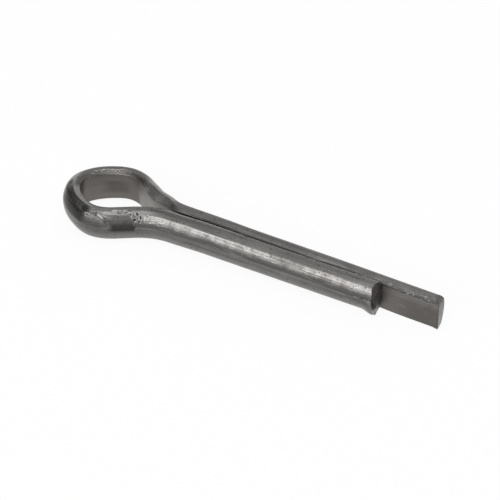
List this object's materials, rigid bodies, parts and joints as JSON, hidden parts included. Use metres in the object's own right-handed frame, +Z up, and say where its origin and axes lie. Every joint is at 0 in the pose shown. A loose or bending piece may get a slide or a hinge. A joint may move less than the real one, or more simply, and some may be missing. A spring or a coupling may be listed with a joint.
{
  "type": "cotter pin",
  "caption": "Split pin of half-round steel wire bent back on itself, with a teardrop eye and a round split shank whose prongs end at different lengths.",
  "frame": {"origin": "on the shank's axis at the neck, where the shank leaves the eye", "axes": "+X along the shank to the tips, +Z up, square to the eye's flat ring, with the pin lying on its side and the long prong on the +Y side"},
  "size_m": [0.0325, 0.0074, 0.0028],
  "materials": {
    "wire": "plain drawn steel wire, lightly oiled, dark grey"
  },
  "bodies": {
    "root": {"cotter_pin": "wire"}
  },
  "joints": []
}
